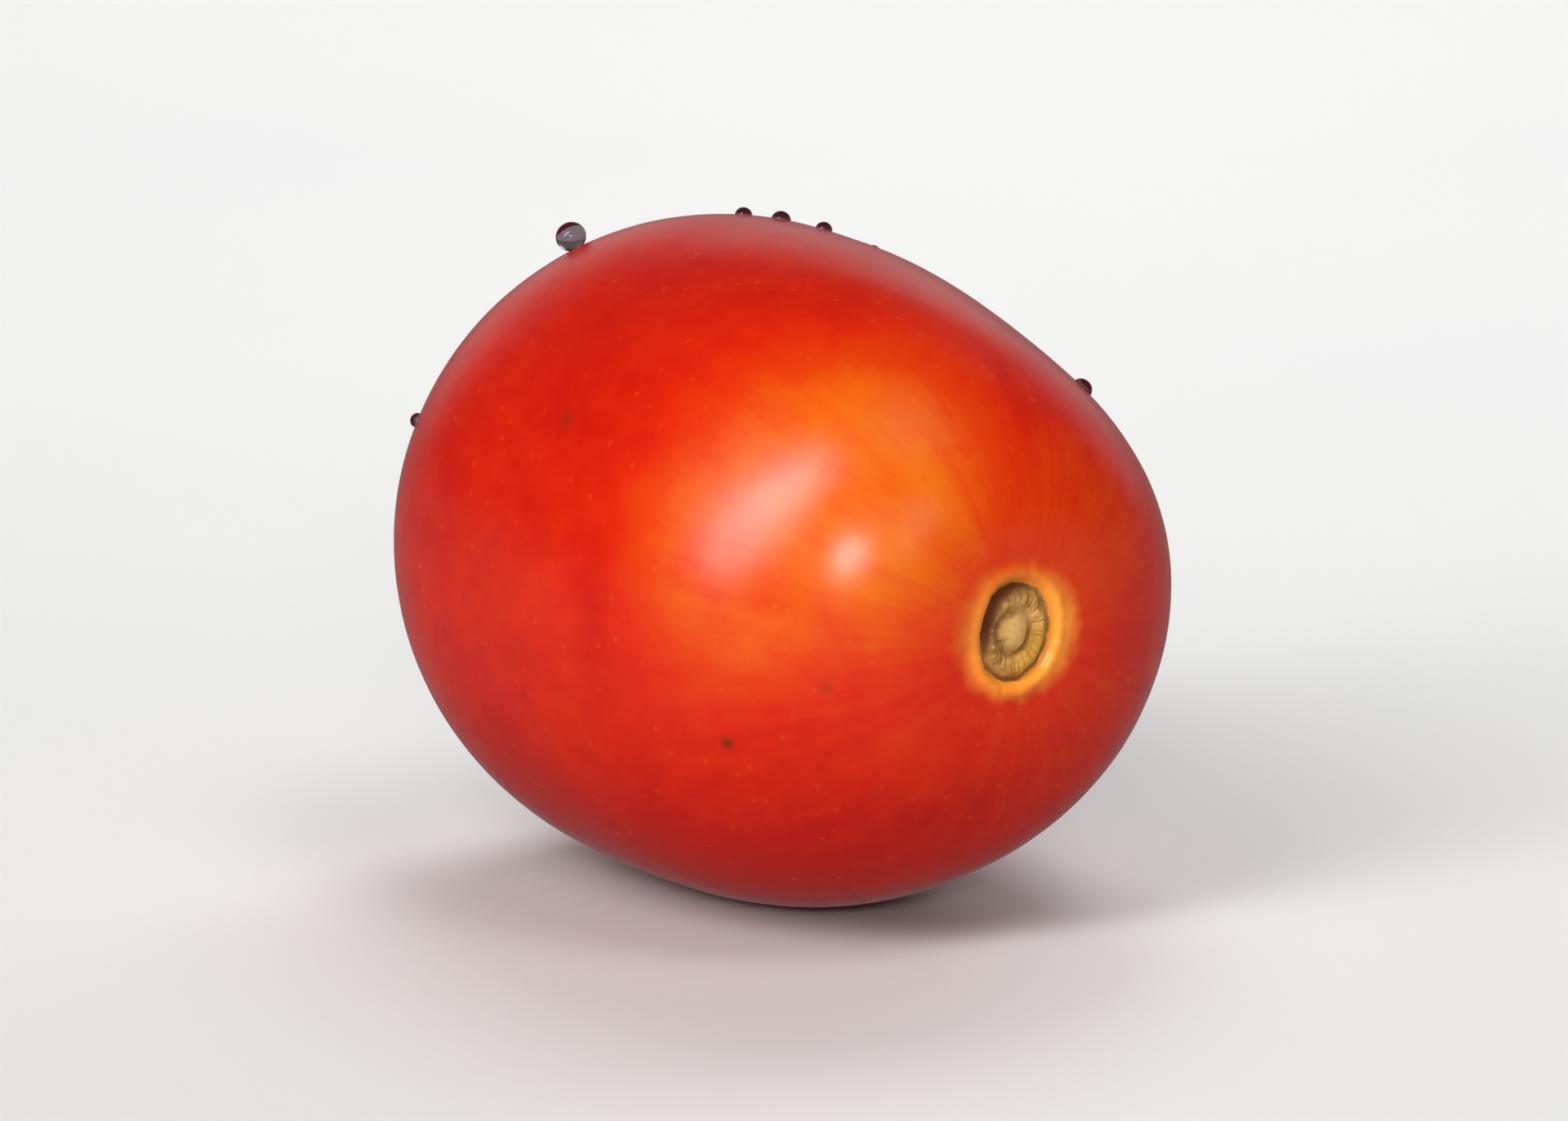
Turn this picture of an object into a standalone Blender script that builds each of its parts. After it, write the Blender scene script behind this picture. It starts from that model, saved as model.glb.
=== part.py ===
"""Plum tomato, grown as one piece, lying on its side on a small flat spot.

Metres, +Z up. The fruit's own axis runs along X, with the stem scar at +X and
the blossom end at -X. The origin is on the surface that the fruit rests on,
under the middle of its bounding box.
"""
import math

import bmesh
import bpy
from mathutils import Vector

# The whole fruit
LENGTH = 0.0623
WIDTH = 0.050
STEM_SHARE = 0.524

# Each half is a superellipse: one power for the nose, one for the sides
STEM_NOSE = 2.25
STEM_SIDES = 2.4
BLOSSOM_NOSE = 2.7
BLOSSOM_SIDES = 2.3

# Toward the stem end the fruit swells a little over its three seed chambers
CHAMBERS = 3
CHAMBER_SWELL = 0.015
CHAMBER_POLAR = math.radians(54)
CHAMBER_SPREAD = math.radians(29)
CHAMBER_TURN = math.radians(-8)

# One side there grew flatter than the rest
FLAT_SIDE = 0.060
FLAT_POLAR = math.radians(70)
FLAT_POLAR_SPREAD = math.radians(24)
FLAT_TURN = math.radians(54)
FLAT_TURN_SPREAD = math.radians(36)

# The stem end stands a little above the middle of the fruit
STEM_END_LIFT = 0.0004

# The shallow basin round the stem, and the oval corky scar in it
BASIN_DEPTH = 0.0012
BASIN_RADIUS = 0.0080
SCAR_RADIUS = 0.0033
SCAR_OVAL = 0.135
SCAR_TURN = math.radians(80)
LIP_RISE = 0.00022
RIM_DEPTH = 0.00055
CORK_RISE = 0.00018
CORE_GROOVE = 0.00030
CORE_RISE = 0.00038

# The small dimple at the blossom end, and the dry point in it
DIMPLE_DEPTH = 0.0005
DIMPLE_RADIUS = 0.0042
TIP_RISE = 0.00045
TIP_RADIUS = 0.0009

# How far the spot that the fruit rests on is pressed in
REST_PRESS = 0.0004

# The mesh: rings from pole to pole, closer together at both scars. One ring
# runs along the rim of the stem scar
SIDES = 60
RINGS = 62
STEM_RINGS = 16
STEM_RIM_RING = 9
BLOSSOM_RINGS = 6
BLOSSOM_RING_STEP = 0.0006

SKIN_COLOUR = (0.60, 0.020, 0.004, 1.0)
SKIN_ROUGHNESS = 0.22

RADIUS = WIDTH / 2
STEM_HALF = LENGTH * STEM_SHARE
BLOSSOM_HALF = LENGTH - STEM_HALF
STEM_RING_STEP = SCAR_RADIUS / STEM_RIM_RING


def clear_objects():
    for item in list(bpy.data.objects):
        bpy.data.objects.remove(item, do_unlink=True)


def new_collection(name):
    collection = bpy.data.collections.new(name)
    bpy.context.scene.collection.children.link(collection)
    return collection


def skin_material():
    material = bpy.data.materials.new("tomato_skin")
    material.use_nodes = True
    shader = material.node_tree.nodes["Principled BSDF"]
    shader.inputs["Base Color"].default_value = SKIN_COLOUR
    shader.inputs["Roughness"].default_value = SKIN_ROUGHNESS
    shader.inputs["Metallic"].default_value = 0.0
    return material


def bell(value, centre, spread):
    """1 at the centre, fading to nothing about two spreads away."""
    return math.exp(-((value - centre) / spread) ** 2)


def polar_of_radius(radius, sides):
    """Angle from the pole where the plain fruit has this radius."""
    return math.asin((radius / RADIUS) ** (sides / 2))


def ring_polar(ring):
    """Angle of a ring from the stem pole; ring 0 and the last ring are the poles."""
    stem_ring = min(ring, STEM_RINGS)
    blossom_ring = min(RINGS - ring, BLOSSOM_RINGS)
    stem_polar = polar_of_radius(STEM_RING_STEP * stem_ring, STEM_SIDES)
    blossom_polar = math.pi - polar_of_radius(BLOSSOM_RING_STEP * blossom_ring, BLOSSOM_SIDES)
    if ring <= STEM_RINGS:
        return stem_polar
    if ring >= RINGS - BLOSSOM_RINGS:
        return blossom_polar
    share = (ring - STEM_RINGS) / (RINGS - BLOSSOM_RINGS - STEM_RINGS)
    return stem_polar + (blossom_polar - stem_polar) * share


def girth(polar, around):
    """What the radius is multiplied by where the fruit isn't quite round."""
    chambers = CHAMBER_SWELL * math.cos(CHAMBERS * (around - CHAMBER_TURN))
    turn = math.remainder(around - FLAT_TURN, 2 * math.pi)
    flat = FLAT_SIDE * bell(polar, FLAT_POLAR, FLAT_POLAR_SPREAD) * bell(turn, 0, FLAT_TURN_SPREAD)
    return 1 + chambers * bell(polar, CHAMBER_POLAR, CHAMBER_SPREAD) - flat


def scar_oval(radius, around):
    """What the radius is multiplied by near the stem scar, which isn't quite round."""
    return 1 + SCAR_OVAL * math.cos(2 * (around - SCAR_TURN)) * bell(radius, 0, BASIN_RADIUS)


def stem_relief(radius):
    """Height of the basin and the scar along the axis, outward being positive."""
    reach = radius / SCAR_RADIUS
    height = -BASIN_DEPTH * bell(radius, 0, BASIN_RADIUS)
    height += LIP_RISE * bell(reach, 1.28, 0.16)
    height -= RIM_DEPTH * bell(reach, 1.0, 0.13)
    height += CORK_RISE * bell(reach, 0.75, 0.14)
    height -= CORE_GROOVE * bell(reach, 0.46, 0.11)
    height += CORE_RISE * bell(reach, 0, 0.30)
    return height


def blossom_relief(radius):
    return TIP_RISE * bell(radius, 0, TIP_RADIUS) - DIMPLE_DEPTH * bell(radius, 0, DIMPLE_RADIUS)


def fruit_point(polar, around):
    """Point of the skin; around is 0 toward +Y and a quarter turn toward +Z."""
    radius_share = abs(math.sin(polar))
    length_share = abs(math.cos(polar))
    if polar < math.pi / 2:
        radius = RADIUS * radius_share ** (2 / STEM_SIDES)
        along = STEM_HALF * length_share ** (2 / STEM_NOSE) + stem_relief(radius)
        radius *= scar_oval(radius, around)
    else:
        radius = RADIUS * radius_share ** (2 / BLOSSOM_SIDES)
        along = -BLOSSOM_HALF * length_share ** (2 / BLOSSOM_NOSE) - blossom_relief(radius)
    radius *= girth(polar, around)
    lift = STEM_END_LIFT * (max(along, 0.0) / STEM_HALF) ** 2
    return Vector((along, radius * math.cos(around), radius * math.sin(around) + lift))


def press_flat_spot(mesh):
    """Ends the fruit in a small flat face just above where its underside would reach."""
    floor = min(vert.co.z for vert in mesh.verts) + REST_PRESS
    cut = bmesh.ops.bisect_plane(
        mesh,
        geom=mesh.verts[:] + mesh.edges[:] + mesh.faces[:],
        plane_co=(0, 0, floor),
        plane_no=(0, 0, -1),
        clear_outer=True,
    )
    edge_of_spot = [item for item in cut["geom_cut"] if isinstance(item, bmesh.types.BMEdge)]
    bmesh.ops.contextual_create(mesh, geom=edge_of_spot)


def stand_on_origin(mesh):
    """Moves the fruit until its box is centred on the origin and stands on it."""
    xs = [vert.co.x for vert in mesh.verts]
    ys = [vert.co.y for vert in mesh.verts]
    lowest = min(vert.co.z for vert in mesh.verts)
    middle = Vector(((min(xs) + max(xs)) / 2, (min(ys) + max(ys)) / 2, lowest))
    for vert in mesh.verts:
        vert.co -= middle


def build_tomato(collection):
    mesh = bmesh.new()
    bmesh.ops.create_uvsphere(mesh, u_segments=SIDES, v_segments=RINGS, radius=1.0)
    for vert in mesh.verts:
        angle = math.acos(max(-1.0, min(1.0, vert.co.z)))
        around = math.atan2(vert.co.y, vert.co.x)
        vert.co = fruit_point(ring_polar(round(angle * RINGS / math.pi)), around)
    press_flat_spot(mesh)
    stand_on_origin(mesh)
    data = bpy.data.meshes.new("tomato")
    mesh.to_mesh(data)
    mesh.free()
    data.shade_smooth()
    data.materials.append(skin_material())
    tomato = bpy.data.objects.new("tomato", data)
    collection.objects.link(tomato)
    return tomato


def main():
    clear_objects()
    build_tomato(new_collection("tomato_fruit"))


main()
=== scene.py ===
"""A ripe plum tomato lying on a pale floor, lit by soft studio light.

Metres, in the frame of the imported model: +Z up, the fruit's axis along X with
its stem scar at +X. Angles round the fruit start at +Y and turn toward +Z.
"""

import math

import bmesh
import bpy
import numpy as np
from mathutils import Matrix, Vector, noise


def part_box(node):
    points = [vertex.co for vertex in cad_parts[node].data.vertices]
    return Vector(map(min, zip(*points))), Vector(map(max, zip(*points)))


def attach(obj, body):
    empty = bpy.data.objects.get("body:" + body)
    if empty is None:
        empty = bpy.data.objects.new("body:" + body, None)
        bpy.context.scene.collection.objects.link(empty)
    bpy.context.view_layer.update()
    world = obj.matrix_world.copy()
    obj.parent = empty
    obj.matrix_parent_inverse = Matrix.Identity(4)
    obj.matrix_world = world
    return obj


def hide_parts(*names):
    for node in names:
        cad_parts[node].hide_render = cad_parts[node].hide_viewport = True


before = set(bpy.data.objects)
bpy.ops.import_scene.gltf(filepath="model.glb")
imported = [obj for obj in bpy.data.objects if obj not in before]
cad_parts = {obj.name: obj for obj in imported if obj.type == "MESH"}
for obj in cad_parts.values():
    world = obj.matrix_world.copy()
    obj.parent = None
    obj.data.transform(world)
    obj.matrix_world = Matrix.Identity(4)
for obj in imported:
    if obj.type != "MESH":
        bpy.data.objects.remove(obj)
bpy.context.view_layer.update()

# The whole fruit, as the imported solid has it
LENGTH = 0.0623
WIDTH = 0.050
STEM_SHARE = 0.524
AXIS_HEIGHT = 0.0246

# Each half is a superellipse: one power for the nose, one for the sides
STEM_NOSE = 2.25
STEM_SIDES = 2.4
BLOSSOM_NOSE = 2.7
BLOSSOM_SIDES = 2.3

# Toward the stem end the fruit swells a little over its three seed chambers
CHAMBERS = 3
CHAMBER_SWELL = 0.015
CHAMBER_POLAR = math.radians(54)
CHAMBER_SPREAD = math.radians(29)
CHAMBER_TURN = math.radians(-8)

# One side there grew flatter than the rest, and the stem end stands a little high
FLAT_SIDE = 0.060
FLAT_POLAR = math.radians(70)
FLAT_POLAR_SPREAD = math.radians(24)
FLAT_TURN = math.radians(54)
FLAT_TURN_SPREAD = math.radians(36)
STEM_END_LIFT = 0.0004

# The basin round the stem and the oval corky scar in it. A reach is a distance
# from the middle of the scar in scar radii
BASIN_DEPTH = 0.0012
BASIN_RADIUS = 0.0080
SCAR_RADIUS = 0.0033
SCAR_OVAL = 0.135
SCAR_TURN = math.radians(80)
LIP_RISE = 0.00022
LIP_REACH = 1.28
LIP_SPREAD = 0.16
RIM_DEPTH = 0.00055
RIM_REACH = 1.0
RIM_SPREAD = 0.12
CORK_RISE = 0.00018
CORK_REACH = 0.75
CORK_SPREAD = 0.14
CORE_GROOVE = 0.00030
GROOVE_REACH = 0.46
GROOVE_SPREAD = 0.10
CORE_RISE = 0.00038
CORE_SPREAD = 0.30

# The small dimple at the blossom end, and the dry point in it
DIMPLE_DEPTH = 0.0005
DIMPLE_RADIUS = 0.0042
TIP_RISE = 0.00045
TIP_RADIUS = 0.0009

# How far the spot that the fruit rests on is pressed in
REST_PRESS = 0.0004

RADIUS = WIDTH / 2
STEM_HALF = LENGTH * STEM_SHARE
BLOSSOM_HALF = LENGTH - STEM_HALF

# Finer forms than the solid's: the scar is a twentieth smaller, its core sits to
# one side, its cork is cracked, the skin round it is pleated, and the rest of the
# skin is faintly wavy
REACH_SCALE = 1.05
CORE_SHIFT = 0.26
CORE_SHIFT_TURN = math.radians(165)
CRACKS = 26
CRACK_DEPTH = 0.00016
CRACK_WIDTH = 0.000085
PLEATS = 44
PLEAT_HEIGHT = 0.00007
WAVES_A_METRE = 85.0
WAVE_HEIGHT = 0.00007
RIPPLES_A_WAVE = 2.6
RIPPLE_HEIGHT = 0.000022

# The side on which painted shade darkens the scar and its halo, and how much rounder the halo is than the
# scar
PAINTED_SHADE_TURN = math.radians(138)
HALO_ROUNDING = 0.12

# The fine mesh: rings stand closest together in the zones round the two poles
SIDES = 288
STEM_RINGS = 110
BODY_RINGS = 120
BLOSSOM_RINGS = 28
RINGS = STEM_RINGS + BODY_RINGS + BLOSSOM_RINGS
STEM_ZONE = 0.0066
BLOSSOM_ZONE = 0.0036

# What a point has for its reach where the scar or the dry point is on the other half
OUT_OF_REACH = 99.0

# The flat layout of the skin, in shares of its square: two round charts, each
# with the place of its middle and its radius, and the top of the band below them
STEM_CHART_EDGE = 0.0090
STEM_CHART = (0.21, 0.79, 0.195)
BLOSSOM_CHART_EDGE = 0.0110
BLOSSOM_CHART = (0.70, 0.79, 0.15)
BAND_TOP = 0.57

# The view of the photograph
CAMERA_AZIMUTH = 56.4
CAMERA_ELEVATION = 12.5
CAMERA_DISTANCE = 0.90
FRAME_WIDTH = 0.116
SENSOR_WIDTH = 36.0

# The floor, and the light for it alone, hung behind the fruit
FLOOR_HALF = 6.0
FLOOR_GREY = (0.64, 0.64, 0.64, 1.0)
FLOOR_PALE = (0.66, 0.66, 0.65, 1.0)
FLOOR_LIGHT_BEHIND = 0.34

# What the fruit reflects: a dim room, a low white wall behind it and a pale band
# below the horizon. Edges are angles where a thing starts and where it is full
WALL_AZIMUTH = -128
WALL_SIDE_EDGE = (math.radians(52), math.radians(30))
WALL_TOP_EDGE = (math.radians(34), math.radians(16))
ROOM_LEVEL = 0.06
WALL_LEVEL = 0.42
BAND_LEVEL = 0.21

# How bright the background is to the eye
SEEN_LEVEL = 0.95


def srgb(red, green, blue):
    """A colour given as the eye reads it, 0 to 255, in the renderer's linear units."""
    linear = []
    for value in (red, green, blue):
        share = value / 255
        linear.append(share / 12.92 if share <= 0.04045 else ((share + 0.055) / 1.055) ** 2.4)
    return (*linear, 1.0)


WHITE = (1.0, 1.0, 1.0, 1.0)
DEEP_RED = (0.48, 0.0055, 0.0006, 1.0)
RED = (0.58, 0.0150, 0.0008, 1.0)
ORANGE_RED = (0.62, 0.0420, 0.0014, 1.0)
ORANGE = (0.68, 0.1250, 0.0030, 1.0)
YELLOW_ORANGE = (0.96, 0.3300, 0.0350, 1.0)
# Painted shade: the brown that the halo turns on the side away from the light
HALO_PAINTED_SHADE = srgb(196, 108, 32)
CORK_TAN = srgb(190, 142, 78)
CORK_PALE = srgb(216, 172, 108)
CORK_OLIVE = srgb(156, 112, 44)
# Painted light: the paler ochre of the scar's cork on the side toward the light
CORK_PAINTED_LIGHT = srgb(206, 150, 52)
CORK_BROWN = srgb(108, 60, 20)
# Dark brown of the real specks, and of the painted shadow inside the scar's rim
SPECK_AND_SHADE_BROWN = srgb(90, 38, 8)
# Painted shade: clear water given a dark tint, standing for the dark surroundings that the beads refract
WATER_PAINTED_DARK = (0.22, 0.17, 0.19, 1.0)

# Streaks along the fruit: their noise round it, and how fast it changes along it
STREAKS = 13
STREAK_DRIFT = 9.0

# Scales of the other patterns, in waves of noise a metre
FLOOR_TONES = 9
BLOTCHES = 62
GLOSS_PATCHES = 240
CORK_PATCHES = 340
GRAIN = 420
FLECKS = 520
HALO_EDGE = 560
CORK_EDGE = 800
MOTTLE = 1100
PORES = 2600
CORK_PITS = 3200
PORE_DEPTH = 0.00002
CORK_PIT_DEPTH = 0.00012

# Painted light: the skin is made paler, more orange, in patches near the stem end where the lights fall
# brightest, along the highlight: a place, how far it fades out and how pale it is within
# PAINTED_LIGHT_MIDDLE of the place
PAINTED_LIGHT_MIDDLE = 0.005
PAINTED_LIGHT_SPOTS = [
    (Vector((0.0254, -0.0122, 0.0366)), 0.0172, 0.62),
    (Vector((0.0216, -0.0180, 0.0308)), 0.0140, 0.52),
    (Vector((0.0287, 0.0049, 0.0316)), 0.0100, 0.20),
]

# Small dark specks of the skin: where they are, their radius and how dark they are
SPECKS = [
    (Vector((0.0208, -0.0187, 0.0174)), 0.00040, 0.75),
    (Vector((0.0027, -0.0208, 0.0382)), 0.00060, 0.35),
    (Vector((0.0271, -0.0144, 0.0221)), 0.00045, 0.25),
    (Vector((0.0150, 0.0040, 0.0480)), 0.00030, 0.60),
    (Vector((-0.0050, 0.0235, 0.0300)), 0.00045, 0.60),
    (Vector((-0.0220, 0.0120, 0.0370)), 0.00035, 0.70),
    (Vector((0.0020, -0.0240, 0.0180)), 0.00025, 0.40),
]

# Beads of water: a point near the skin for each, its radius, and how high its
# middle stands over the skin, in radii
BEADS = [
    (Vector((-0.0177, -0.0068, 0.0461)), 0.00116, 0.80),
    (Vector((-0.0107, 0.0035, 0.0487)), 0.00066, -0.10),
    (Vector((-0.0079, 0.0050, 0.0486)), 0.00074, -0.10),
    (Vector((-0.0052, 0.0070, 0.0480)), 0.00064, -0.05),
    (Vector((0.0168, 0.0150, 0.0388)), 0.00082, -0.20),
    (Vector((-0.0213, -0.0186, 0.0337)), 0.00056, 0.0),
    (Vector((-0.0150, 0.0100, 0.0470)), 0.00110, -0.25),
    (Vector((-0.0245, 0.0060, 0.0395)), 0.00080, -0.20),
    (Vector((0.0020, 0.0225, 0.0350)), 0.00070, -0.20),
    (Vector((-0.0100, 0.0245, 0.0300)), 0.00095, -0.25),
    (Vector((-0.0060, 0.0125, 0.0465)), 0.00060, -0.20),
]
BEAD_SQUASH = 0.94
BEAD_SIDES = 32
BEAD_RINGS = 20


def bell(value, centre, spread):
    """1 at the centre, fading to nothing about two spreads away."""
    return np.exp(-((value - centre) / spread) ** 2)


def smooth(value, low, high):
    """0 below low, 1 above high, and a smooth step between."""
    share = np.clip((value - low) / (high - low), 0.0, 1.0)
    return share * share * (3 - 2 * share)


def turn_between(around, place):
    """The turn from a place to each angle round the fruit, from minus half a turn to half a turn."""
    return np.arctan2(np.sin(around - place), np.cos(around - place))


def polar_of_radius(radius, sides):
    """Angle from the pole where the plain fruit has this radius."""
    return np.arcsin((radius / RADIUS) ** (sides / 2))


def ring_polars():
    """Angles of all the rings from the stem pole to the blossom pole."""
    stem = polar_of_radius(np.linspace(0.0, STEM_ZONE, STEM_RINGS + 1), STEM_SIDES)
    blossom = math.pi - polar_of_radius(np.linspace(BLOSSOM_ZONE, 0.0, BLOSSOM_RINGS + 1), BLOSSOM_SIDES)
    body = np.linspace(stem[-1], blossom[0], BODY_RINGS + 1)[1:-1]
    return np.concatenate([stem, body, blossom])


def girth(polar, around):
    """What the radius is multiplied by where the fruit isn't quite round."""
    chambers = CHAMBER_SWELL * np.cos(CHAMBERS * (around - CHAMBER_TURN))
    turn = turn_between(around, FLAT_TURN)
    flat = FLAT_SIDE * bell(polar, FLAT_POLAR, FLAT_POLAR_SPREAD) * bell(turn, 0, FLAT_TURN_SPREAD)
    return 1 + chambers * bell(polar, CHAMBER_POLAR, CHAMBER_SPREAD) - flat


def scar_oval(radius, around):
    """What the radius is multiplied by near the stem scar, which isn't quite round."""
    return 1 + SCAR_OVAL * np.cos(2 * (around - SCAR_TURN)) * bell(radius, 0, BASIN_RADIUS)


def stem_relief(radius, reach, core):
    """Height of the basin and the scar along the axis, outward being positive."""
    height = LIP_RISE * bell(reach, LIP_REACH, LIP_SPREAD)
    height -= BASIN_DEPTH * bell(radius, 0, BASIN_RADIUS)
    height -= RIM_DEPTH * bell(reach, RIM_REACH, RIM_SPREAD)
    height += CORK_RISE * bell(reach, CORK_REACH, CORK_SPREAD)
    height -= CORE_GROOVE * bell(core, GROOVE_REACH, GROOVE_SPREAD)
    height += CORE_RISE * bell(core, 0, CORE_SPREAD)
    return height


def blossom_relief(radius):
    """Height of the dimple and the dry point at the blossom end, outward being positive."""
    return TIP_RISE * bell(radius, 0, TIP_RADIUS) - DIMPLE_DEPTH * bell(radius, 0, DIMPLE_RADIUS)


def ring_noise(around, turns, seed):
    """Noise that closes on itself after one turn; turns is how many waves it has."""
    reach = turns / (2 * math.pi)
    spots = zip(np.cos(around) * reach, np.sin(around) * reach)
    return np.array([noise.noise(Vector((a, b, seed))) for a, b in spots])


def scar_reach(radius, around):
    """Distance from the middle of the scar in scar radii, with the rim's uneven edge."""
    uneven = 0.055 * ring_noise(around, 7, 3.1) + 0.022 * ring_noise(around, 26, 7.7)
    reach = radius / SCAR_RADIUS
    return reach * (REACH_SCALE + uneven[None, :] * smooth(reach, 0.2, 0.9))


def core_reach(reach, around):
    """Like the reach from the middle of the scar, for its core, which is uneven and sits to one side."""
    uneven = 0.16 * ring_noise(around, 8, 5.3) + 0.06 * ring_noise(around, 23, 2.2)
    return reach * (1 - CORE_SHIFT * np.cos(around - CORE_SHIFT_TURN) + uneven)


def cork_cracks(reach, around):
    """Radial cracks in the cork, each with its own place, length, depth and bend."""
    height = np.zeros(reach.shape)
    dice = np.random.default_rng(11)
    for crack in range(CRACKS):
        place = 2 * math.pi * (crack + dice.uniform(-0.35, 0.35)) / CRACKS
        bend = dice.uniform(-0.25, 0.25)
        inner = dice.uniform(0.42, 0.66)
        outer = dice.uniform(0.80, 0.99)
        deep = dice.uniform(0.4, 1.0)
        across = turn_between(around, place + bend * (reach - 0.7)) * reach * SCAR_RADIUS
        along = smooth(reach, inner - 0.06, inner + 0.04) * (1 - smooth(reach, outer - 0.05, outer + 0.03))
        height -= CRACK_DEPTH * deep * bell(across, 0, CRACK_WIDTH) * along
    return height


def lip_pleats(reach, around):
    """Fine pleats in the skin where it meets the scar."""
    waves = ring_noise(around, PLEATS, 1.9)[None, :]
    return PLEAT_HEIGHT * waves * smooth(reach, 1.02, 1.15) * (1 - smooth(reach, 1.3, 1.9))


def fruit_grid():
    """Points of the skin, one row a ring, and the values that the material reads at each point."""
    around = np.arange(SIDES) * (2 * math.pi / SIDES)
    polar = ring_polars()[:, None]
    stem_side = polar < math.pi / 2
    sine = np.abs(np.sin(polar))
    cosine = np.abs(np.cos(polar))
    stem_radius = RADIUS * sine ** (2 / STEM_SIDES)
    blossom_radius = RADIUS * sine ** (2 / BLOSSOM_SIDES)
    reach = scar_reach(stem_radius, around)
    core = core_reach(reach, around)
    relief = stem_relief(stem_radius, reach, core) + cork_cracks(reach, around) + lip_pleats(reach, around)
    stem_along = STEM_HALF * cosine ** (2 / STEM_NOSE) + relief
    blossom_along = -BLOSSOM_HALF * cosine ** (2 / BLOSSOM_NOSE) - blossom_relief(blossom_radius)
    along = np.where(stem_side, stem_along, blossom_along)
    radius = np.where(stem_side, stem_radius * scar_oval(stem_radius, around), blossom_radius)
    radius = radius * girth(polar, around)
    lift = STEM_END_LIFT * (np.maximum(along, 0) / STEM_HALF) ** 2
    points = np.stack([along, radius * np.cos(around), radius * np.sin(around) + lift], axis=-1)
    halo = reach * (1 + HALO_ROUNDING * np.cos(2 * (around - SCAR_TURN)))
    values = {
        "reach": np.where(stem_side, reach, OUT_OF_REACH),
        "core": np.where(stem_side, core, OUT_OF_REACH),
        "halo": np.where(stem_side, halo, OUT_OF_REACH),
        # Painted shade: how near each point is to the side away from the light, where the scar and halo are
        # darkened
        "painted_shade_side": np.cos(around - PAINTED_SHADE_TURN),
        "tip": np.where(stem_side, OUT_OF_REACH, blossom_radius / TIP_RADIUS),
        "polar": polar,
    }
    values = {name: np.broadcast_to(value, reach.shape) for name, value in values.items()}
    return points, values


def finish_fruit_grid(points):
    """Presses the flat spot in, stands the fruit on the floor and centres it as the solid is."""
    low, high = (np.array(corner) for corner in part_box("tomato"))
    floor = points[..., 2].min() + REST_PRESS
    points[..., 2] = np.maximum(points[..., 2], floor) - floor
    middle = (points[..., :2].min(axis=(0, 1)) + points[..., :2].max(axis=(0, 1))) / 2
    points[..., :2] += (low[:2] + high[:2]) / 2 - middle
    return points


def ball_mesh(name):
    """A closed net of rings and sides with one vertex at each pole; returns each vertex's ring and side."""
    ring = np.concatenate([[0], np.repeat(np.arange(1, RINGS), SIDES), [RINGS]])
    side = np.concatenate([[0], np.tile(np.arange(SIDES), RINGS - 1), [0]])
    here = np.arange(SIDES)
    after = (here + 1) % SIDES
    last = 1 + (RINGS - 2) * SIDES
    faces = [(0, 1 + a, 1 + b) for a, b in zip(here, after)]
    for row in range(RINGS - 2):
        near = 1 + row * SIDES
        far = near + SIDES
        faces += [(near + b, near + a, far + a, far + b) for a, b in zip(here, after)]
    faces += [(last + b, last + a, last + SIDES) for a, b in zip(here, after)]
    data = bpy.data.meshes.new(name)
    data.from_pydata(np.zeros((len(ring), 3)), [], faces)
    return data, ring, side


def add_uv_map(data, ring, side, grid):
    """Lays the skin out flat: both ends as round charts, the stem end's the larger, and a band between."""
    steps = np.linalg.norm(np.diff(grid, axis=0), axis=-1).mean(axis=1)
    along = np.concatenate([[0.0], np.cumsum(steps)])
    corners = np.empty(len(data.loops), np.int32)
    data.loops.foreach_get("vertex_index", corners)
    rings = ring[corners]
    sides = side[corners].astype(float)
    face = np.repeat(np.arange(len(data.polygons)), [len(polygon.vertices) for polygon in data.polygons])
    corner_along = along[rings]

    # A face whose sides lie far apart wraps past the last side, so its side 0 is one turn on
    at_pole = (rings == 0) | (rings == RINGS)
    face_low = np.full(len(data.polygons), np.inf)
    face_high = np.full(len(data.polygons), -np.inf)
    np.minimum.at(face_low, face, np.where(at_pole, np.inf, sides))
    np.maximum.at(face_high, face, np.where(at_pole, -np.inf, sides))
    wraps = (face_high - face_low)[face] > 1.5
    sides = np.where(wraps & (sides == 0), float(SIDES), sides)

    # The band first, and then the charts over it
    from_blossom = along[-1] - along
    turn = sides * 2 * math.pi / SIDES
    u = sides / SIDES
    v = BAND_TOP * (corner_along - STEM_CHART_EDGE) / (along[-1] - STEM_CHART_EDGE - BLOSSOM_CHART_EDGE)
    middle = np.bincount(face, corner_along) / np.bincount(face)
    stem_edge = along[np.abs(along - STEM_CHART_EDGE).argmin()]
    blossom_edge = along[np.abs(from_blossom - BLOSSOM_CHART_EDGE).argmin()]
    charts = [
        (middle < stem_edge, corner_along / STEM_CHART_EDGE, STEM_CHART),
        (middle > blossom_edge, from_blossom[rings] / BLOSSOM_CHART_EDGE, BLOSSOM_CHART),
    ]
    for faces, share, (chart_u, chart_v, chart_radius) in charts:
        u = np.where(faces[face], chart_u + chart_radius * share * np.cos(turn), u)
        v = np.where(faces[face], chart_v + chart_radius * share * np.sin(turn), v)
    layer = data.uv_layers.new(name="OFBake")
    layer.data.foreach_set("uv", np.stack([u, v], axis=-1).astype(np.float32).ravel())


def add_value(data, name, values):
    """Gives each vertex a number that the material can read by name."""
    data.attributes.new(name, "FLOAT", "POINT").data.foreach_set("value", values.astype(np.float32))


def skin_undulation(points, normals):
    """The very faint waves of a grown skin, which soften the edges of its reflections."""
    rise = np.empty(len(points))
    for index, point in enumerate(points):
        spot = Vector(point) * WAVES_A_METRE
        rise[index] = noise.noise(spot) * WAVE_HEIGHT + noise.noise(spot * RIPPLES_A_WAVE) * RIPPLE_HEIGHT
    return points + normals * rise[:, None]


def add_to_scene(item):
    bpy.context.scene.collection.objects.link(item)
    return item


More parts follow.
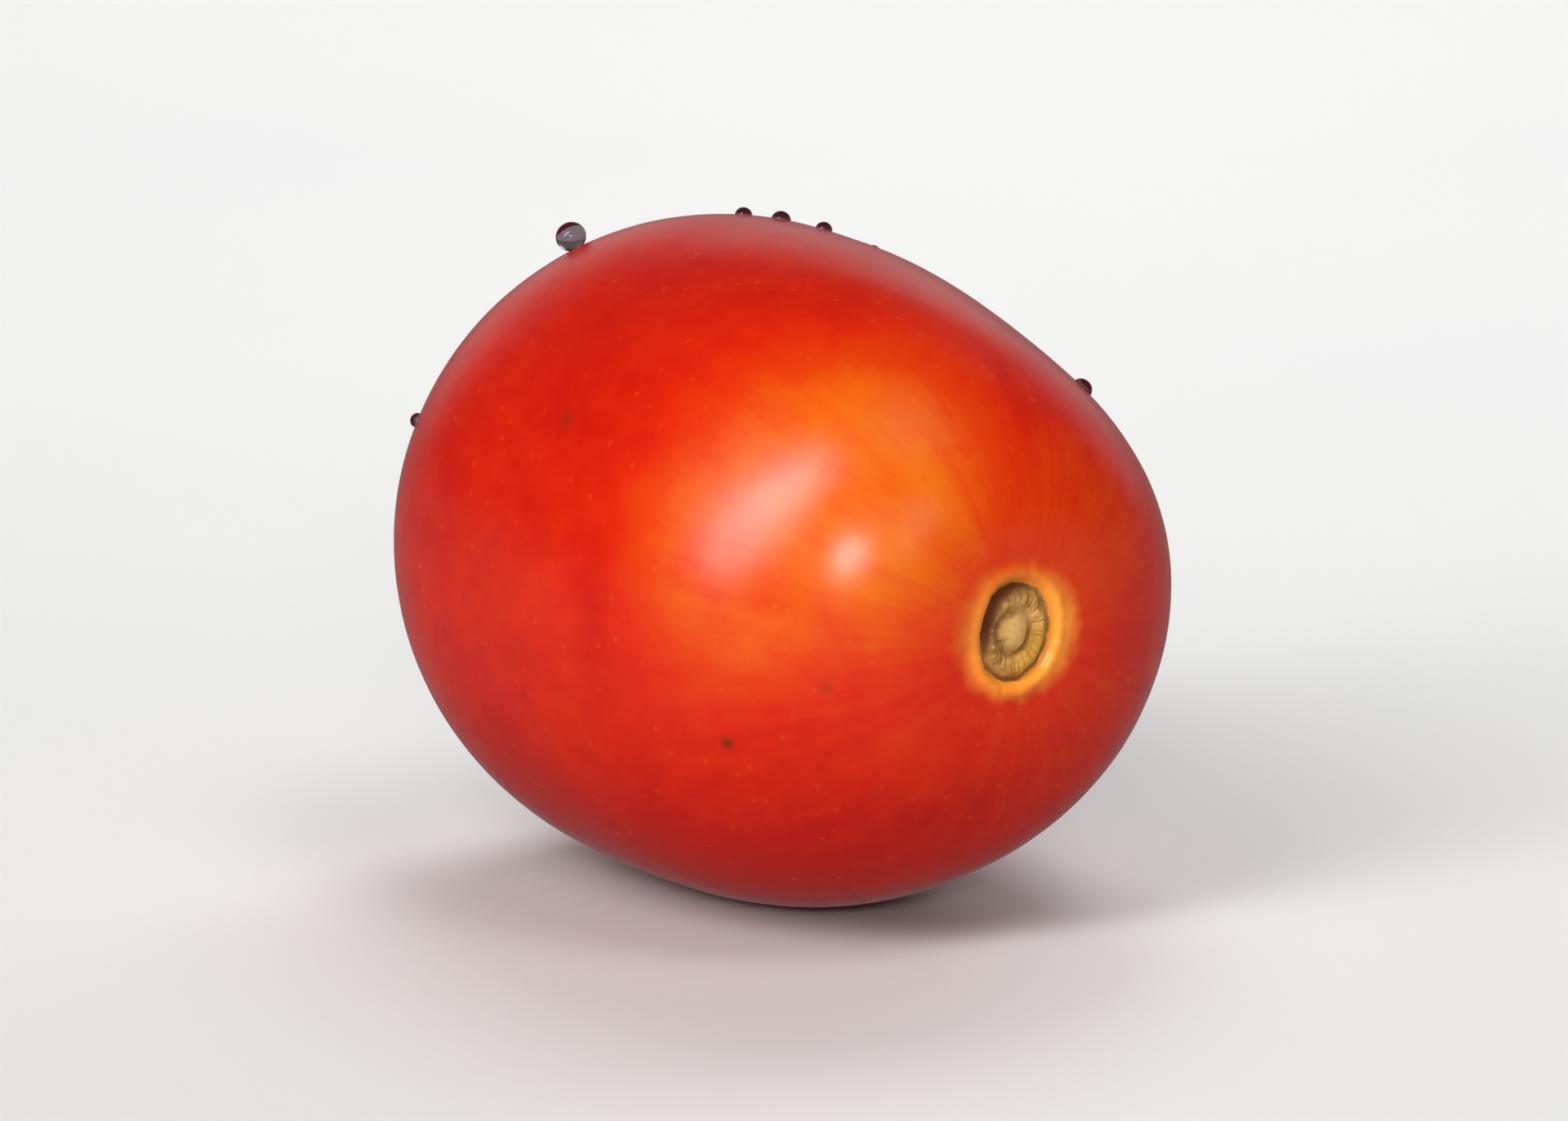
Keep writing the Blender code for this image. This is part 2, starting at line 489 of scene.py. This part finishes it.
def build_fruit():
    grid, values = fruit_grid()
    grid = finish_fruit_grid(grid)
    data, ring, side = ball_mesh("tomato_fruit")
    add_uv_map(data, ring, side, grid)
    points = grid[ring, side]
    for name, value in values.items():
        add_value(data, name, value[ring, side])
    data.vertices.foreach_set("co", points.ravel())
    data.update()
    normals = np.empty(len(points) * 3)
    data.vertices.foreach_get("normal", normals)
    normals = normals.reshape(-1, 3)
    calm = smooth(values["reach"][ring, side], 1.2, 2.6) * smooth(points[:, 2], 0.0, 0.004)
    points = skin_undulation(points, normals * calm[:, None])
    data.vertices.foreach_set("co", points.ravel())
    data.shade_smooth()
    data.update()
    return add_to_scene(bpy.data.objects.new("tomato_fruit", data))


def build_beads(fruit):
    """Round drops standing on the skin, most of them sunk a little into it."""
    mesh = bmesh.new()
    for place, radius, stand in BEADS:
        _, spot, normal, _ = fruit.closest_point_on_mesh(place)
        centre = Matrix.Translation(spot + normal * radius * stand)
        turn = normal.to_track_quat("Z", "Y").to_matrix().to_4x4()
        size = Matrix.Diagonal((radius, radius, radius * BEAD_SQUASH, 1.0))
        bmesh.ops.create_uvsphere(
            mesh, u_segments=BEAD_SIDES, v_segments=BEAD_RINGS, radius=1.0, matrix=centre @ turn @ size)
    data = bpy.data.meshes.new("water_beads")
    mesh.to_mesh(data)
    mesh.free()
    data.shade_smooth()
    return add_to_scene(bpy.data.objects.new("water_beads", data))


class Nodes:
    """Short calls for building a node tree. A value is a number, a colour or another node's output."""

    def __init__(self, tree):
        self.tree = tree

    def put(self, value, socket):
        if isinstance(value, bpy.types.NodeSocket):
            self.tree.links.new(value, socket)
        else:
            socket.default_value = value

    def new(self, kind, inputs=None, **settings):
        node = self.tree.nodes.new(kind)
        for key, value in settings.items():
            setattr(node, key, value)
        for key, value in (inputs or {}).items():
            self.put(value, node.inputs[key])
        return node

    def attribute(self, name):
        return self.new("ShaderNodeAttribute", attribute_name=name).outputs["Fac"]

    def place(self, kind="Object"):
        return self.new("ShaderNodeTexCoord").outputs[kind]

    def split(self, vector):
        return self.new("ShaderNodeSeparateXYZ", {0: vector}).outputs

    def noise(self, where, scale, detail=2.0, roughness=0.5, distortion=0.0):
        inputs = {
            "Vector": where,
            "Scale": scale,
            "Detail": detail,
            "Roughness": roughness,
            "Distortion": distortion,
        }
        return self.new("ShaderNodeTexNoise", inputs).outputs["Fac"]

    def waver(self, amount, *noise_settings):
        """Noise to both sides of zero; amount is how far it would go from end to end."""
        return self.math("MULTIPLY", self.math("SUBTRACT", self.noise(*noise_settings), 0.5), amount)

    def spots(self, where, scale):
        return self.new("ShaderNodeTexVoronoi", {"Vector": where, "Scale": scale}).outputs["Distance"]

    def math(self, operation, first, *others):
        """One maths node, or a chain of them where there are more than two values."""
        for second in others or (0.0,):
            first = self.new("ShaderNodeMath", {0: first, 1: second}, operation=operation).outputs[0]
        return first

    def vector(self, operation, first, second=(0.0, 0.0, 0.0), output="Vector"):
        return self.new("ShaderNodeVectorMath", {0: first, 1: second}, operation=operation).outputs[output]

    def distance(self, where, place):
        return self.vector("DISTANCE", where, place, "Value")

    def range(self, value, low, high, start=0.0, end=1.0, smooth_ends=True):
        """Start at low, end at high, and a smooth or straight step between."""
        inputs = {"Value": value, "From Min": low, "From Max": high, "To Min": start, "To Max": end}
        kind = "SMOOTHSTEP" if smooth_ends else "LINEAR"
        return self.new("ShaderNodeMapRange", inputs, interpolation_type=kind).outputs["Result"]

    def line(self, value, middle, edge, full):
        """1 where the value is within full of the middle, fading to 0 at edge."""
        return self.range(self.math("ABSOLUTE", self.math("SUBTRACT", value, middle)), edge, full)

    def mix(self, share, first, second):
        """A mix of two colours, which are the node's inputs 6 and 7 and its output 2."""
        node = self.new("ShaderNodeMix", {"Factor": share, 6: first, 7: second}, data_type="RGBA")
        return node.outputs[2]

    def ramp(self, value, stops):
        node = self.new("ShaderNodeValToRGB", {"Fac": value})
        bar = node.color_ramp
        while len(bar.elements) < len(stops):
            bar.elements.new(0.5)
        for element, (place, colour) in zip(bar.elements, stops):
            element.position = place
            element.color = colour
        return node.outputs["Color"]

    def bump(self, height, distance, strength=1.0, after=None):
        node = self.new("ShaderNodeBump", {"Height": height, "Distance": distance, "Strength": strength})
        if after is not None:
            self.put(after, node.inputs["Normal"])
        return node.outputs["Normal"]


def new_material(name):
    """A material, the short calls for its node tree, and its shader's inputs."""
    material = bpy.data.materials.new(name)
    material.use_nodes = True
    tree = material.node_tree
    return material, Nodes(tree), tree.nodes["Principled BSDF"].inputs


def skin_streaks(m, where, polar):
    """Streaks along the fruit, strongest near the stem: noise by the direction outward from the axis."""
    from_axis = m.vector("SUBTRACT", where, (0.0, 0.0, AXIS_HEIGHT))
    outward = m.vector("NORMALIZE", m.vector("MULTIPLY", from_axis, (0.0, 1.0, 1.0)))
    drift = m.vector("MULTIPLY", from_axis, (STREAK_DRIFT, 0.0, 0.0))
    strength = m.range(polar, 1.7, 0.35, 0.10, 0.36)
    return m.waver(strength, m.vector("ADD", outward, drift), STREAKS, 4.0, 0.65)


def ripeness_and_painted_light(m, where, polar):
    """0 where the skin is deep red to 1 where it is orange: paler toward the stem end, with painted light
    as paler patches where the lights fall brightest and painted shade as deeper red low down.
    """
    painted_light = 0.0
    # Painted light: paler where the lights fall brightest
    for place, spread, amount in PAINTED_LIGHT_SPOTS:
        here = m.range(m.distance(where, place), spread, PAINTED_LIGHT_MIDDLE, 0.0, amount)
        painted_light = m.math("MAXIMUM", here, painted_light)
    stem_end = m.range(polar, 0.75, 0.10, 0.0, 0.14)
    blossom_end = m.range(polar, 1.30, 2.20, 0.0, -0.10)
    # Painted shade: deeper red low down, where the fruit is in shade, and a little more orange higher up
    painted_shade_by_height = m.range(m.split(where)["Z"], 0.004, 0.018, -0.12, 0.12)
    broad = m.waver(0.55, where, BLOTCHES, 3.0, 0.55, 0.4)
    fine = m.waver(0.30, where, GRAIN, 4.0, 0.62)
    streaks = skin_streaks(m, where, polar)
    return m.math("ADD", painted_light, stem_end, broad, fine, streaks, painted_shade_by_height, blossom_end)


def add_halo(m, colour, where, painted_shade_side):
    """The yellow ring just outside the scar, with painted shade making it browner on the side away from the
    light.
    """
    reach = m.math("ADD", m.attribute("halo"), m.waver(0.45, where, HALO_EDGE, 2.0))
    # Painted shade: browner on the side away from the light
    halo_colour = m.mix(m.range(painted_shade_side, 0.1, 0.9, 0.0, 0.75), YELLOW_ORANGE, HALO_PAINTED_SHADE)
    return m.mix(m.range(reach, 1.84, 1.10), colour, halo_colour)


def add_marks(m, colour, where):
    """Pale flecks all over, and the few dark specks."""
    flecks = m.range(m.spots(where, FLECKS), 0.16, 0.06, 0.0, 0.20)
    colour = m.mix(flecks, colour, ORANGE)
    specks = 0.0
    for place, radius, dark in SPECKS:
        here = m.range(m.distance(where, place), radius * 2.0, radius * 0.3, 0.0, dark)
        specks = m.math("MAXIMUM", here, specks)
    return m.mix(specks, colour, SPECK_AND_SHADE_BROWN)


def cork(m, where, mottle, painted_shade_side):
    """Colour of the scar's cork, and a value that is 1 on it.

    It is mottled tan and pale in the core, with painted light as ochre on the side toward
    the light, brown in the groove round the core and along the rim, and painted
    shadow as a dark crescent on the side away from the light.
    """
    core = m.attribute("core")
    patches = m.noise(where, CORK_PATCHES, 2.0, 0.5)
    wander = m.waver(0.12, where, CORK_EDGE, 2.0)
    reach = m.math("ADD", m.attribute("reach"), wander)
    colour = m.ramp(mottle, [(0.22, CORK_BROWN), (0.40, CORK_OLIVE), (0.52, CORK_TAN), (0.80, CORK_PALE)])
    colour = m.mix(m.range(patches, 0.45, 0.70, 0.0, 0.55), colour, CORK_OLIVE)
    # Painted light: paler ochre on the side toward the light
    colour = m.mix(m.range(painted_shade_side, -0.1, -0.9, 0.0, 0.60), colour, CORK_PAINTED_LIGHT)
    colour = m.mix(m.range(core, 0.40, 0.20, 0.0, 0.60), colour, CORK_PALE)
    groove = m.line(m.math("ADD", core, wander), 0.47, 0.12, 0.02)
    groove = m.math("MULTIPLY", groove, m.range(patches, 0.40, 0.60, 0.15, 0.70))
    colour = m.mix(groove, colour, CORK_BROWN)
    rim = m.line(reach, RIM_REACH, 0.09, 0.02)
    rim = m.math("MULTIPLY", rim, m.range(patches, 0.34, 0.60, 0.20, 0.70))
    colour = m.mix(rim, colour, CORK_BROWN)
    # Painted shadow: a dark crescent inside the rim on the side away from the light
    painted_shadow_crescent = m.math("MULTIPLY", m.range(reach, 0.66, 0.90), m.range(painted_shade_side, 0.15, 0.85, 0.0, 0.92))
    colour = m.mix(painted_shadow_crescent, colour, SPECK_AND_SHADE_BROWN)
    return colour, m.range(reach, 1.08, 1.02)


def skin_material():
    material, m, shader = new_material("ripe_skin")
    where = m.place()
    # Painted shade: 1 on the side away from the light, -1 on the side toward it
    painted_shade_side = m.attribute("painted_shade_side")
    mottle = m.noise(where, MOTTLE, 5.0, 0.6, 0.5)
    # The skin's ripeness, with painted light and painted shade in it
    ripe_and_painted_light = ripeness_and_painted_light(m, where, m.attribute("polar"))
    colour = m.ramp(ripe_and_painted_light, [(0.0, DEEP_RED), (0.22, RED), (0.50, ORANGE_RED), (0.86, ORANGE)])
    colour = add_halo(m, colour, where, painted_shade_side)
    colour = add_marks(m, colour, where)
    cork_colour, on_scar = cork(m, where, mottle, painted_shade_side)
    colour = m.mix(on_scar, colour, cork_colour)
    on_tip = m.range(m.math("ADD", m.attribute("tip"), m.math("MULTIPLY", mottle, 0.5)), 1.5, 1.0)
    colour = m.mix(on_tip, colour, CORK_BROWN)
    m.put(colour, shader["Base Color"])

    # The scar and the dry point are rough and pitted, and the skin is glossy with fine pores
    dry = m.math("MAXIMUM", on_scar, on_tip)
    gloss = m.range(m.noise(where, GLOSS_PATCHES, 4.0, 0.6), 0.3, 0.7, 0.20, 0.27, smooth_ends=False)
    m.put(m.math("ADD", gloss, m.math("MULTIPLY", dry, 0.55)), shader["Roughness"])
    pores = m.bump(m.noise(where, PORES, 3.0, 0.6), PORE_DEPTH, 0.35)
    pits = m.math("MULTIPLY", m.noise(where, CORK_PITS, 4.0, 0.7), dry)
    m.put(m.bump(pits, CORK_PIT_DEPTH, 1.0, pores), shader["Normal"])

    shader["IOR"].default_value = 1.40
    shader["Subsurface Weight"].default_value = 0.10
    shader["Subsurface Radius"].default_value = (1.0, 0.25, 0.10)
    shader["Subsurface Scale"].default_value = 0.003
    return material


def water_material():
    material, _, shader = new_material("water")
    # Painted shade: the dark tint stands for what the beads refract
    shader["Base Color"].default_value = WATER_PAINTED_DARK
    shader["Roughness"].default_value = 0.02
    shader["IOR"].default_value = 1.333
    shader["Transmission Weight"].default_value = 1.0
    return material


def floor_material():
    material, m, shader = new_material("pale_floor")
    where = m.place()
    tone = m.range(m.noise(where, FLOOR_TONES, 3.0), 0.3, 0.7, smooth_ends=False)
    m.put(m.mix(tone, FLOOR_GREY, FLOOR_PALE), shader["Base Color"])
    shader["Roughness"].default_value = 0.55

    # The studio's lights stop short of the far floor, so it glows faintly there and stays pale
    distance = m.vector("LENGTH", where, output="Value")
    shader["Emission Color"].default_value = WHITE
    m.put(m.range(distance, 0.30, 2.40, 0.0, 0.76, smooth_ends=False), shader["Emission Strength"])
    return material


def build_floor():
    mesh = bmesh.new()
    bmesh.ops.create_grid(mesh, x_segments=8, y_segments=8, size=FLOOR_HALF)
    data = bpy.data.meshes.new("floor")
    mesh.to_mesh(data)
    mesh.free()
    data.materials.append(floor_material())
    floor = add_to_scene(bpy.data.objects.new("floor", data))
    floor.visible_glossy = False
    return floor


def view_direction(azimuth, elevation):
    """Unit vector from the fruit toward a place round it, in the same angles as the camera."""
    turn = math.radians(azimuth)
    rise = math.radians(elevation)
    return Vector((math.sin(turn) * math.cos(rise), -math.cos(turn) * math.cos(rise), math.sin(rise)))


def add_looking_at(item, target, azimuth, elevation, distance):
    """Adds a light or the camera to the scene, at a place round the target and pointing at it."""
    direction = view_direction(azimuth, elevation)
    item.location = target + direction * distance
    item.rotation_euler = (-direction).to_track_quat("-Z", "Y").to_euler()
    return add_to_scene(item)


def softbox(name, azimuth, elevation, distance, width, height, watts, target, fade, roll=0.0):
    """A rectangular light, its angles in degrees.

    fade is how far in from each edge it is still dimming, in shares of its
    width or height: left, right, bottom and top.
    """
    lamp = bpy.data.lights.new(name, "AREA")
    lamp.shape = "RECTANGLE"
    lamp.size = width
    lamp.size_y = height
    lamp.energy = watts
    lamp.use_nodes = True
    m = Nodes(lamp.node_tree)
    across = m.split(m.new("ShaderNodeNewGeometry").outputs["Parametric"])
    left, right, bottom, top = fade
    edges = [("X", 0.0, left), ("X", 1.0, 1.0 - right), ("Y", 0.0, bottom), ("Y", 1.0, 1.0 - top)]
    dims = [m.range(across[axis], edge, inner) for axis, edge, inner in edges if edge != inner]
    if dims:
        m.put(m.math("MULTIPLY", 1.0, *dims), m.tree.nodes["Emission"].inputs["Strength"])
    light = add_looking_at(bpy.data.objects.new(name, lamp), target, azimuth, elevation, distance)
    light.rotation_euler.rotate_axis("Z", math.radians(roll))
    light.visible_camera = False
    return light


def light_floor(floor, target):
    """A light for the floor alone, over the part behind the fruit, so that the background is pale."""
    only = bpy.data.collections.new("lit_floor")
    only.objects.link(floor)
    spot = target + view_direction(WALL_AZIMUTH, 0) * FLOOR_LIGHT_BEHIND
    light = softbox("floor_light", 0, 90, 0.40, 0.30, 0.30, 1.4, spot, (0, 0, 0, 0))
    light.light_linking.receiver_collection = only


def build_lights(target):
    soft = (0.5, 0.5, 0.5, 0.5)
    softbox("main_softbox", 16.0, 34.0, 2.2, 1.00, 3.10, 132.0, target, (0.55, 0.45, 0.4, 0.4), -33)
    softbox("main_surround", 12, 35, 2.4, 2.60, 2.60, 30.0, target, soft)
    softbox("small_front_light", 57.5, 18.4, 2.2, 0.86, 0.36, 58.0, target, soft)
    softbox("right_panel", 87, 22, 2.4, 1.30, 1.30, 12.0, target, soft)
    top = softbox("top_fill", 100, 62, 2.4, 1.60, 1.60, 66.0, target, soft)
    back = softbox("back_fill", 205, 30, 2.4, 1.60, 1.60, 46.0, target, soft)
    for fill in (top, back):
        fill.visible_glossy = False


def build_world():
    """White to the eye. The fruit is lit by a dim room with a low white wall and a pale band below."""
    world = bpy.data.worlds.new("studio")
    bpy.context.scene.world = world
    world.use_nodes = True
    m = Nodes(world.node_tree)
    direction = m.place("Generated")
    height = m.split(direction)["Z"]
    level = m.vector("NORMALIZE", m.vector("MULTIPLY", direction, (1.0, 1.0, 0.0)))
    toward_wall = m.vector("DOT_PRODUCT", level, view_direction(WALL_AZIMUTH, 0), "Value")
    beside_wall = m.range(toward_wall, *(math.cos(angle) for angle in WALL_SIDE_EDGE))
    below_top = m.range(height, *(math.sin(angle) for angle in WALL_TOP_EDGE))
    above_horizon = m.range(height, -0.04, 0.06)
    wall = m.math("MULTIPLY", below_top, above_horizon, beside_wall)
    band = m.math("MULTIPLY", m.range(height, -0.60, -0.25, 0.4, 1.0), m.range(height, 0.10, -0.02))
    wall_light = m.range(wall, 0.0, 1.0, ROOM_LEVEL, WALL_LEVEL)
    band_light = m.range(band, 0.0, 1.0, ROOM_LEVEL, BAND_LEVEL)
    brightest = m.math("MAXIMUM", wall_light, band_light)
    felt = m.new("ShaderNodeBackground", {"Color": WHITE, "Strength": brightest})
    seen = m.tree.nodes["Background"]
    seen.inputs["Color"].default_value = WHITE
    seen.inputs["Strength"].default_value = SEEN_LEVEL
    eye = m.new("ShaderNodeLightPath").outputs["Is Camera Ray"]
    both = {"Fac": eye, 1: felt.outputs["Background"], 2: seen.outputs["Background"]}
    chosen = m.new("ShaderNodeMixShader", both).outputs["Shader"]
    m.put(chosen, m.tree.nodes["World Output"].inputs["Surface"])


def build_camera(target):
    lens = bpy.data.cameras.new("camera")
    lens.sensor_width = SENSOR_WIDTH
    lens.lens = SENSOR_WIDTH * CAMERA_DISTANCE / FRAME_WIDTH
    lens.clip_start = 0.01
    camera = bpy.data.objects.new("camera", lens)
    add_looking_at(camera, target, CAMERA_AZIMUTH, CAMERA_ELEVATION, CAMERA_DISTANCE)
    bpy.context.scene.camera = camera


def main():
    low, high = (Vector(corner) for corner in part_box("tomato"))
    middle = (low + high) / 2
    fruit = build_fruit()
    fruit.data.materials.append(skin_material())
    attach(fruit, "root")
    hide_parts("tomato")
    beads = build_beads(fruit)
    beads.data.materials.append(water_material())
    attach(beads, "root")
    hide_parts("tomato")
    light_floor(build_floor(), middle)
    build_lights(middle)
    build_world()
    build_camera(middle)
    bpy.context.scene.view_settings.view_transform = "Standard"


main()
